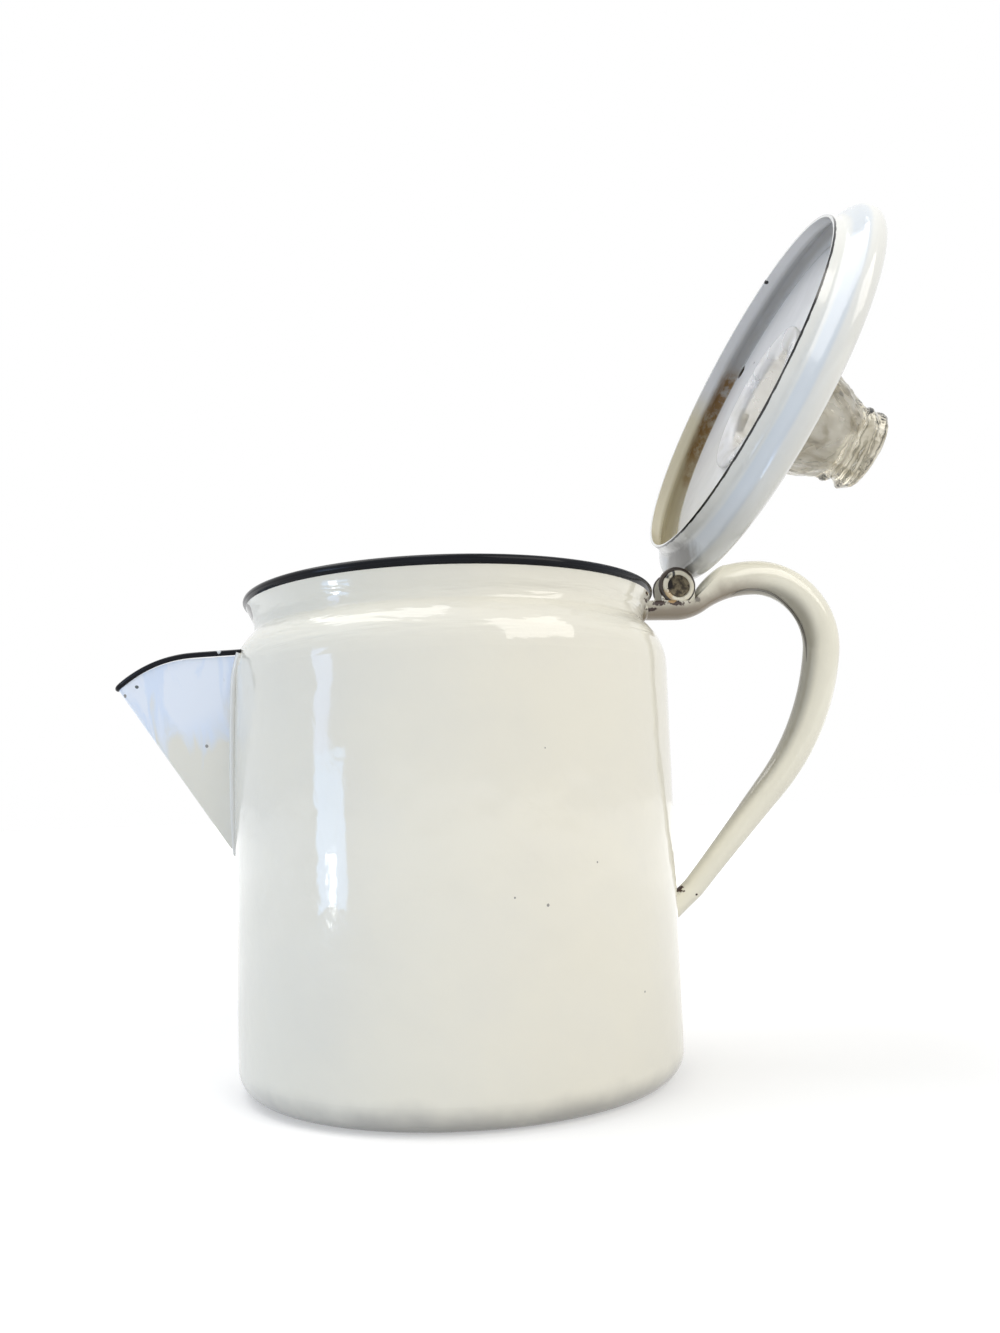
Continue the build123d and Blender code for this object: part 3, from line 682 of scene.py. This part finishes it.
# Black at the ring's top left is chipped enamel and painted shadow from the gap behind the ring.
for centre, reach, tint in (
    ((73.4, -5, 150.2), (2.6, 1.8, 2.4), ring_stain),
    ((72.8, -5.2, 156.9), (2.3, 1.8, 1.7), black_enamel_and_shadow),
    ((73.2, -5.5, 152.2), (0.4, 0.7, 0.35), rust_brown),
    ((73.6, -5.5, 150.9), (0.35, 0.7, 0.3), rust_brown),
    ((75.6, -5.2, 157.4), (0.7, 1.6, 1.8), black_enamel_and_shadow),
):
    ring_colour = paint_spot(ring_tree, ring_colour, tint, centre, reach, 1.4, 0.6, 700)
put_inputs(ring_tree, ring_surface, {"Base Color": ring_colour})
# The dark rim is rust and painted shadow of the gap round the ear.
ear_edge_rust_and_shadow, edge_tree, edge_surface, edge_colour = enamel_material(
    "enamel_ear_edge", (0.02, 0.016, 0.013, 1), (0.1, 0.06, 0.035, 1), cloud=0.8, gloss=0.3
)
put_inputs(edge_tree, edge_surface, {"Base Color": edge_colour})


def edit_corners(piece, wanted):
    bpy.ops.object.mode_set(mode="EDIT")
    bpy.ops.mesh.select_mode(type="VERT")
    bpy.ops.mesh.select_all(action="DESELECT")
    bpy.ops.object.mode_set(mode="OBJECT")
    for corner in piece.data.vertices:
        corner.select = wanted(corner.co)
    bpy.ops.object.mode_set(mode="EDIT")


for side_name, side in (("front", -1), ("back", 1)):
    edge_shift = 0.15 * (1 - side)
    for name, major, minor, depth, shift, finish, finish_slot in (
        ("ear_ring_", 4.55, 0.92, 4.75, 0, ring_enamel, "enamel_cream"),
        ("ear_edge_", 5.35 + edge_shift, 0.82, 4.2, edge_shift, ear_edge_rust_and_shadow, "enamel_black"),
    ):
        bpy.ops.object.select_all(action="DESELECT")
        bpy.ops.mesh.primitive_torus_add(
            major_segments=72,
            minor_segments=20,
            major_radius=major * mm,
            minor_radius=minor * mm,
            location=((hinge[0] - shift) * mm, side * depth * mm, (hinge[2] + shift) * mm),
            rotation=(math.radians(90), 0, 0),
        )
        ring = bpy.context.object
        bpy.context.view_layer.update()
        back = (depth - ring_back * minor) * mm
        edit_corners(ring, lambda place: side * (ring.matrix_world @ place).y < back)
        bpy.ops.transform.resize(value=(1, ring_flatness, 1), center_override=(0, side * back, 0))
        bpy.ops.object.mode_set(mode="OBJECT")
        add_lumps(ring, name + side_name, 1.8, 0.14)
        place_piece(ring, name + side_name, "pot", finish)

# Hinge pin: a steel rod through both ears, its ends hammered over to rough heads. It
# is dark with grease, and a painted shadow darkens the left of the front head, where
# it sits sunk in the ring.
pin_dark = (0.035, 0.027, 0.017, 1)
pin_pale = (0.15, 0.125, 0.08, 1)
pin_painted_shadow = (0.008, 0.006, 0.005, 1)


def bare_material(name, **looks):
    material, tree, surface = blank_material(name)
    put_inputs(tree, surface, {label.replace("_", " "): value for label, value in looks.items()})
    return material, tree, surface


pin_steel, pin_tree, pin_surface = bare_material("steel_pin", Roughness=0.45, Metallic=0.6)
pin_noise = noise_level(pin_tree, object_place(pin_tree), 520, 4, 0.65)
pin_colour = paint_over(pin_tree, pin_dark, ramp(pin_tree, pin_noise, 0.4, 0.62), pin_pale)
# Painted shadow: a black crescent at the left of the front head, where it sits sunk in the ring.
pin_colour = paint_spot(pin_tree, pin_colour, pin_painted_shadow, (74.0, -5.5, 154.0), (1.5, 1.5, 3.2), 0.8, 0.5)
put_inputs(
    pin_tree, pin_surface, {"Base Color": pin_colour, "Normal": add_bump(pin_tree, pin_noise, 1.0, 0.5)}
)
dress("hinge_pin", pin_steel)

# Lid: one sheet pressed to a shallow dish with a rolled flange, enamelled inside and out.
# Coffee has stained the flange's inside from the vent down towards the hinge, and the
# skirt's edge is black. The inside and the outside near the hinge are greyed with painted
# shade, and a painted reflection lies as a blue band on the outer slope.
lid_turn = math.radians(115.6)
lid_centre = Vector((103.586, 0, 226.061))
lid_frame = Matrix.Translation(lid_centre) @ Matrix.Rotation(lid_turn, 4, "Y")
inside_painted_shade = (0.78, 0.78, 0.80, 1)
beige = (0.76, 0.68, 0.46, 1)
stain_brown = (0.42, 0.25, 0.09, 1)
chip_brown = (0.03, 0.022, 0.015, 1)
slope_painted_reflection = (0.63, 0.70, 0.78, 1)
hinge_shade_grey = (0.5, 0.51, 0.5, 1)
hinge_painted_shade = (0.17, 0.16, 0.135, 1)
core_radius = 40 * mm
core_height = 8 * mm


def lid_place(along, side, height):
    return tuple(lid_frame @ Vector((along, side, height)))


lid_enamel, lid_tree, lid_surface, lid_colour = enamel_material(
    "enamel_lid", (0.84, 0.84, 0.80, 1), (0.74, 0.76, 0.76, 1), gloss=0.11, wave=0.9
)
lid_object = add_node(lid_tree, "TexCoord", {}).outputs
lid_local = add_node(
    lid_tree,
    "Mapping",
    {"Vector": lid_object["Object"], "Location": lid_centre * mm, "Rotation": (0, lid_turn, 0)},
    vector_type="TEXTURE",
).outputs[0]
lid_facing = add_node(
    lid_tree, "Mapping", {"Vector": lid_object["Normal"], "Rotation": (0, lid_turn, 0)}, vector_type="TEXTURE"
).outputs[0]
lid_axes = add_node(lid_tree, "SeparateXYZ", {"Vector": lid_local}).outputs
lid_along, lid_side, lid_height = (lid_axes[axis] for axis in "XYZ")
lid_flat = add_node(lid_tree, "CombineXYZ", {"X": lid_along, "Y": lid_side}).outputs[0]
lid_radius = vector_calculate(lid_tree, "LENGTH", lid_flat)
lid_angle = calculate(lid_tree, "ARCTAN2", lid_side, lid_along)
# The inside is where the surface faces a ring of points well within the dish. Above the
# flange's middle the inside never faces up, so what does is the lid's top.
core_share = calculate(lid_tree, "DIVIDE", core_radius, lid_radius)
lid_core = add_node(lid_tree, "VectorMath", {0: lid_flat, "Scale": core_share}, operation="SCALE")
lid_core = vector_calculate(lid_tree, "ADD", lid_core.outputs["Vector"], (0, 0, core_height))
lid_to_core = vector_calculate(lid_tree, "SUBTRACT", lid_core, lid_local)
faces_core = ramp(lid_tree, vector_calculate(lid_tree, "DOT_PRODUCT", lid_to_core, lid_facing), 0.0, 0.3 * mm)
lid_up = add_node(lid_tree, "SeparateXYZ", {"Vector": lid_facing}).outputs["Z"]
plate_top = product(
    lid_tree,
    ramp(lid_tree, lid_height, 9.6 * mm, 10.2 * mm),
    ramp(lid_tree, lid_radius, 64.5 * mm, 63.5 * mm),
)
lid_top = product(
    lid_tree,
    ramp(lid_tree, lid_up, 0.1, 0.25),
    calculate(lid_tree, "MAXIMUM", plate_top, ramp(lid_tree, lid_height, 11.1 * mm, 11.5 * mm)),
)
lid_inside = product(lid_tree, faces_core, calculate(lid_tree, "SUBTRACT", 1.0, lid_top))
lid_outside = calculate(lid_tree, "SUBTRACT", 1.0, lid_inside)
# Painted shade: the lid's inside is painted greyer, for the shade inside the dish.
lid_colour = paint_over(lid_tree, lid_colour, product(lid_tree, lid_inside, 0.75), inside_painted_shade)
wall_only = ramp(lid_tree, lid_radius, 56 * mm, 62 * mm)
beige_mask = product(
    lid_tree,
    ramp(lid_tree, ragged(lid_tree, lid_angle, 0.9, 60), 2.2, 1.7),
    ramp(lid_tree, lid_along, -30 * mm, -12 * mm),
    wall_only,
    lid_inside,
    0.85,
)
lid_colour = paint_over(lid_tree, lid_colour, beige_mask, beige)
stain_fleck = noise_level(lid_tree, lid_object["Object"], 190, 5, 0.7)
stain_mask = product(
    lid_tree,
    ramp(lid_tree, lid_angle, math.radians(126), math.radians(120)),
    ramp(lid_tree, ragged(lid_tree, lid_angle, 0.7, 80), math.radians(74), math.radians(94)),
    ramp(lid_tree, ragged(lid_tree, lid_height, 7 * mm, 120), 4.6 * mm, 8.6 * mm),
    wall_only,
    ramp(lid_tree, stain_fleck, 0.3, 0.56, 0.0, 0.92),
    lid_inside,
)
lid_colour = paint_over(lid_tree, lid_colour, stain_mask, stain_brown)
for place, reach, tint in (
    (lid_place(-30.8, 31.6, 10.4), 0.5, rust_brown),
    (lid_place(-32.8, 45.2, 9.6), 2.9, chip_brown),
    (lid_place(-57.6, 21.7, 0.6), 1.0, black_enamel_and_shadow),
    (lid_place(-57, -33.3, 5.8), 1.0, rust_brown),
    (lid_place(24, -61, 12), 0.6, pit_grey),
    (lid_place(20, 40, 11), 0.6, pit_grey),
):
    lid_colour = paint_spot(lid_tree, lid_colour, tint, place, reach, 0.8)
# Painted reflection: a blue-grey band on the outer slope stands for the window seen there.
slope_height = ragged(lid_tree, lid_height, 1.2 * mm, 40)
slope_reflection_band = product(
    lid_tree,
    ramp(lid_tree, slope_height, 4.4 * mm, 5.4 * mm),
    ramp(lid_tree, slope_height, 9.2 * mm, 7.8 * mm),
    0.6,
    lid_outside,
)
lid_colour = paint_over(lid_tree, lid_colour, slope_reflection_band, slope_painted_reflection)
# Painted shade: the outside is painted darker towards the hinge, and darkest just above it.
near_hinge_shade = product(lid_tree, ramp(lid_tree, lid_along, 50 * mm, 68 * mm, 0.0, 0.35), lid_outside)
lid_colour = paint_over(lid_tree, lid_colour, near_hinge_shade, hinge_shade_grey)
lid_colour = paint_spot(lid_tree, lid_colour, hinge_painted_shade, (79.5, 4, 162.5), (7, 24, 8.5), 0.6, 0.55, 120, 0.95)
edge_facing = vector_calculate(lid_tree, "DOT_PRODUCT", lid_facing, lid_flat)
skirt_edge = product(
    lid_tree,
    ramp(lid_tree, ragged(lid_tree, lid_height, 0.6 * mm, 260), 0.8 * mm, 0.6 * mm),
    ramp(lid_tree, edge_facing, -5 * mm, 10 * mm),
)
lid_colour = paint_over(lid_tree, lid_colour, skirt_edge, black_enamel_and_shadow)
put_inputs(lid_tree, lid_surface, {"Base Color": lid_colour})
dress("lid_shell", lid_enamel)

# Tongue: the strap welded under the lid's flange, with the knuckle that the pin runs
# in. Its enamel is browned, and black round the knuckle, with grease and with painted
# shadow from the gap between the ears.
knuckle_grease_and_shadow = (0.04, 0.03, 0.022, 1)
tongue_enamel, tongue_tree, tongue_surface, tongue_colour = enamel_material(
    "enamel_tongue", (0.6, 0.59, 0.54, 1), (0.42, 0.36, 0.27, 1), cloud=0.8
)
# Grease and painted shadow: the knuckle is painted black where the gap between the ears lies in shade.
tongue_colour = paint_spot(
    tongue_tree, tongue_colour, knuckle_grease_and_shadow, (77.6, -3.4, 154), (6.0, 3.4, 5.6), 0.8, 0.4
)
put_inputs(tongue_tree, tongue_surface, {"Base Color": tongue_colour})
dress("lid_tongue", tongue_enamel)

# Glass knob: clear glass pressed hollow, with a flange inside the lid, a rippled bell
# and two turns of a round thread at its head.
knob_mouth = (3.5, 43.8)
knob_inside = (
    (9.0, 43.4), (11.0, 41.6), (12.6, 39.0), (14.6, 34.6), (16.6, 28.5), (17.9, 22.5), (18.0, 14.0),
    (18.4, 10.4), (20.5, 8.9), (24.6, 8.3), (26.4, 8.3),
)
knob_outside = (
    (27.0, 8.9), (26.8, 10.1), (25.6, 10.6), (22.0, 10.6), (20.9, 11.2), (20.9, 13.2), (21.1, 14.2),
    (20.95, 18.0), (20.6, 23.0), (19.7, 29.0), (18.4, 33.5), (16.7, 37.5), (14.7, 41.0), (13.3, 44.5),
    (12.9, 46.8), (13.3, 48.6), (14.3, 50.4), (14.6, 51.8), (14.3, 53.2), (12.8, 54.3), (9.5, 55.0), (4.0, 55.3),
)
ripple_start = 15
head_start = 46
glass_wall = 1.2
flange_top = 12
thread_start = 41.5
thread_pitch = 6.2
thread_turns = 1.9
thread_rise = 1.35
thread_width = 1.35
thread_lead = 2.2
bpy.ops.object.select_all(action="DESELECT")
bpy.ops.mesh.primitive_circle_add(vertices=64, radius=knob_mouth[0] * mm, location=(0, 0, knob_mouth[1] * mm))
knob = bpy.context.object
bpy.ops.object.transform_apply(location=True)
bpy.ops.object.mode_set(mode="EDIT")
bpy.ops.mesh.select_all(action="SELECT")
ring_radius, ring_height = knob_mouth
for radius, height in knob_inside + knob_outside:
    bpy.ops.mesh.extrude_edges_move(TRANSFORM_OT_translate={"value": (0, 0, (height - ring_height) * mm)})
    bpy.ops.transform.resize(value=(radius / ring_radius, radius / ring_radius, 1))
    ring_radius, ring_height = radius, height
bpy.ops.mesh.extrude_edges_move()
bpy.ops.mesh.merge(type="CENTER")
bpy.ops.object.mode_set(mode="OBJECT")
mouth_reach, mouth_height = (knob_mouth[0] + 0.1) * mm, knob_mouth[1] * mm
edit_corners(knob, lambda place: abs(place.z - mouth_height) < 0.01 * mm and place.xy.length < mouth_reach)
bpy.ops.mesh.edge_face_add()
bpy.ops.mesh.select_all(action="SELECT")
bpy.ops.mesh.normals_make_consistent(inside=False)
bpy.ops.object.mode_set(mode="OBJECT")
knob_smooth = knob.modifiers.new("knob_smooth", "SUBSURF")
knob_smooth.levels = knob_smooth.render_levels = 2
bpy.ops.object.modifier_apply(modifier=knob_smooth.name)


def knob_outer(height):
    for (near, low), (far, high) in zip(knob_outside[4:], knob_outside[5:]):
        if low <= height <= high:
            return near + (far - near) * (height - low) / (high - low)
    return 0 if height > 50 else knob_outside[4][0]


for corner in knob.data.vertices:
    place = corner.co / mm
    reach = place.xy.length
    if place.z < ripple_start or reach < 1:
        continue
    ripple = 1.5 * noise.noise(Vector((place.x * 0.2, place.y * 0.2, place.z * 0.13)))
    ripple += 0.5 * noise.noise(place * 0.6)
    outside = reach > knob_outer(place.z) - glass_wall or place.z > head_start + 1
    shift = 0.95 * ripple * min(1, (place.z - ripple_start) / 4)
    if outside:
        turn = (math.atan2(place.y, place.x) + thread_lead) % (2 * math.pi) / (2 * math.pi)
        shift *= 0.35 if place.z > head_start else 0.8
        for lap in range(2):
            along = turn + lap
            fade = min(1, along / 0.15, max(0, thread_turns - along) / 0.15)
            crest = thread_start + thread_pitch * along
            if fade > 0:
                shift += thread_rise * fade * math.exp(-(((place.z - crest) / thread_width) ** 2))
    corner.co.x += place.x / reach * shift * mm
    corner.co.y += place.y / reach * shift * mm
knob_stand = Matrix.Translation(lid_centre * mm) @ Matrix.Rotation(lid_turn, 4, "Y")
knob.matrix_world = knob_stand

# The glass is clouded grey and brown on the bell and hazy on its inside, where coffee
# has dulled it.
glass_index = 1.5
glass_pale = (0.62, 0.58, 0.47, 1)
glass_brown = (0.26, 0.22, 0.14, 1)
glass_dirt = (0.05, 0.045, 0.035, 1)
haze_pale = (0.95, 0.95, 0.96, 1)
haze_grey = (0.78, 0.77, 0.72, 1)
glass, glass_tree, glass_surface = bare_material(
    "glass_knob", Roughness=0.02, Transmission_Weight=1.0, IOR=glass_index
)
glass_cloud = noise_level(glass_tree, object_place(glass_tree), 90, 3, 0.5, 1.5)
glass_colour = paint_over(glass_tree, glass_pale, ramp(glass_tree, glass_cloud, 0.42, 0.68), glass_brown)
for place, reach in ((lid_place(-6, -17, 32), 1.8), (lid_place(6, -14.5, 47), 1.6)):
    glass_colour = paint_spot(glass_tree, glass_colour, glass_dirt, place, reach, 1.0, 0.5, 300, 0.8)
glass_wave = noise_level(glass_tree, object_place(glass_tree), 110, 0)
put_inputs(
    glass_tree, glass_surface, {"Base Color": glass_colour, "Normal": add_bump(glass_tree, glass_wave, 0.5, 1.2)}
)
hazy_glass, haze_tree, haze_surface = bare_material("glass_knob_inside", Transmission_Weight=0.6, IOR=glass_index)
haze = noise_level(haze_tree, object_place(haze_tree), 70, 3)
put_inputs(
    haze_tree,
    haze_surface,
    {
        "Base Color": paint_over(haze_tree, haze_pale, ramp(haze_tree, haze, 0.5, 0.75), haze_grey),
        "Roughness": ramp(haze_tree, haze, 0.4, 0.75, 0.26, 0.42),
    },
)
place_piece(knob, "knob_bell", "knob", glass, 80)
knob.data.materials.append(hazy_glass)
for face in knob.data.polygons:
    place = lid_frame.inverted() @ (face.center / mm)
    within = place.z < knob_mouth[1] + 0.7 and place.xy.length < knob_outer(place.z) - glass_wall - 0.4
    if place.z < flange_top or within:
        face.material_index = 1
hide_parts("glass_knob")

# Lugs of the knob: two glass blocks pressed with the bell, that turn over the lid's
# edge at its centre hole and hold the knob down.
lug_size = (7.8, 2.9, 1.9)
lug_out, lug_height = 21.6, 12.95
lug_round = 0.5
bpy.ops.object.select_all(action="DESELECT")
bpy.ops.mesh.primitive_cube_add(size=mm, scale=lug_size)
lug_front = bpy.context.object
bpy.ops.object.transform_apply(scale=True)
bpy.ops.object.mode_set(mode="EDIT")
bpy.ops.mesh.select_all(action="SELECT")
bpy.ops.mesh.bevel(offset=lug_round * mm, segments=3)
bpy.ops.object.mode_set(mode="OBJECT")
lug_back = lug_front.copy()
lug_back.data = lug_front.data.copy()
bpy.context.scene.collection.objects.link(lug_back)
for lug, lug_name, lug_side in ((lug_front, "front", -1), (lug_back, "back", 1)):
    lug.matrix_world = knob_stand @ Matrix.Translation((0, lug_side * lug_out * mm, lug_height * mm))
    place_piece(lug, "knob_lug_" + lug_name, "knob", glass)

# Pump and basket: spun and pressed aluminium, dulled and browned by years of coffee.
# Fine turning lines run round each piece, and the stain is darkest on the basket.
spun_grey = (0.5, 0.5, 0.49, 1)
coffee_brown = (0.24, 0.19, 0.13, 1)
spun_metal, spun_in, spun_out = new_group(
    "spun_metal",
    [
        ("Colour", "Color", spun_grey),
        ("Stain colour", "Color", coffee_brown),
        ("Stain", "Float", 0.4),
        ("Dull", "Float", 0.3),
    ],
    [("Colour", "Color"), ("Roughness", "Float"), ("Normal", "Vector")],
)
spun_axes = object_axes(spun_metal)
spun_flat = add_node(spun_metal, "CombineXYZ", {"X": spun_axes["X"], "Y": spun_axes["Y"]}).outputs[0]
spun_radius = vector_calculate(spun_metal, "LENGTH", spun_flat)
spun_round = product(spun_metal, calculate(spun_metal, "ARCTAN2", spun_axes["Y"], spun_axes["X"]), 0.4 * mm)
spun_lines = add_node(spun_metal, "CombineXYZ", {"X": spun_radius, "Y": spun_axes["Z"], "Z": spun_round})
spun_line = noise_level(spun_metal, spun_lines.outputs[0], 2200, 2)
spun_stain = noise_level(spun_metal, object_place(spun_metal), 45, 6, 0.6, 0.15)
spun_stain = product(spun_metal, ramp(spun_metal, spun_stain, 0.38, 0.75), spun_in["Stain"])
spun_dull = calculate(spun_metal, "MULTIPLY_ADD", spun_line, 0.16, spun_in["Dull"])
put_inputs(
    spun_metal,
    spun_out,
    {
        "Colour": paint_over(spun_metal, spun_in["Colour"], spun_stain, spun_in["Stain colour"]),
        "Roughness": calculate(spun_metal, "ADD", spun_dull, product(spun_metal, spun_stain, 0.35)),
        "Normal": add_bump(spun_metal, spun_line, 0.25, 0.12),
    },
)
for finish_name, stain, dull, names in (
    ("aluminium_pump", 0.5, 0.24, ("stem_tube", "pump_foot", "valve_seat", "basket_stop")),
    ("aluminium_valve", 0.25, 0.2, ("valve_washer",)),
    ("aluminium_basket", 0.8, 0.28, ("basket_shell", "basket_sleeve")),
    ("aluminium_basket_lid", 0.6, 0.26, ("basket_lid",)),
):
    finish, finish_tree, finish_surface = bare_material(finish_name, Metallic=1.0)
    spun = add_node(finish_tree, "Group", {"Stain": stain, "Dull": dull}, node_tree=spun_metal).outputs
    put_inputs(
        finish_tree,
        finish_surface,
        {"Base Color": spun["Colour"], "Roughness": spun["Roughness"], "Normal": spun["Normal"]},
    )
    for name in names:
        dress(name, finish)
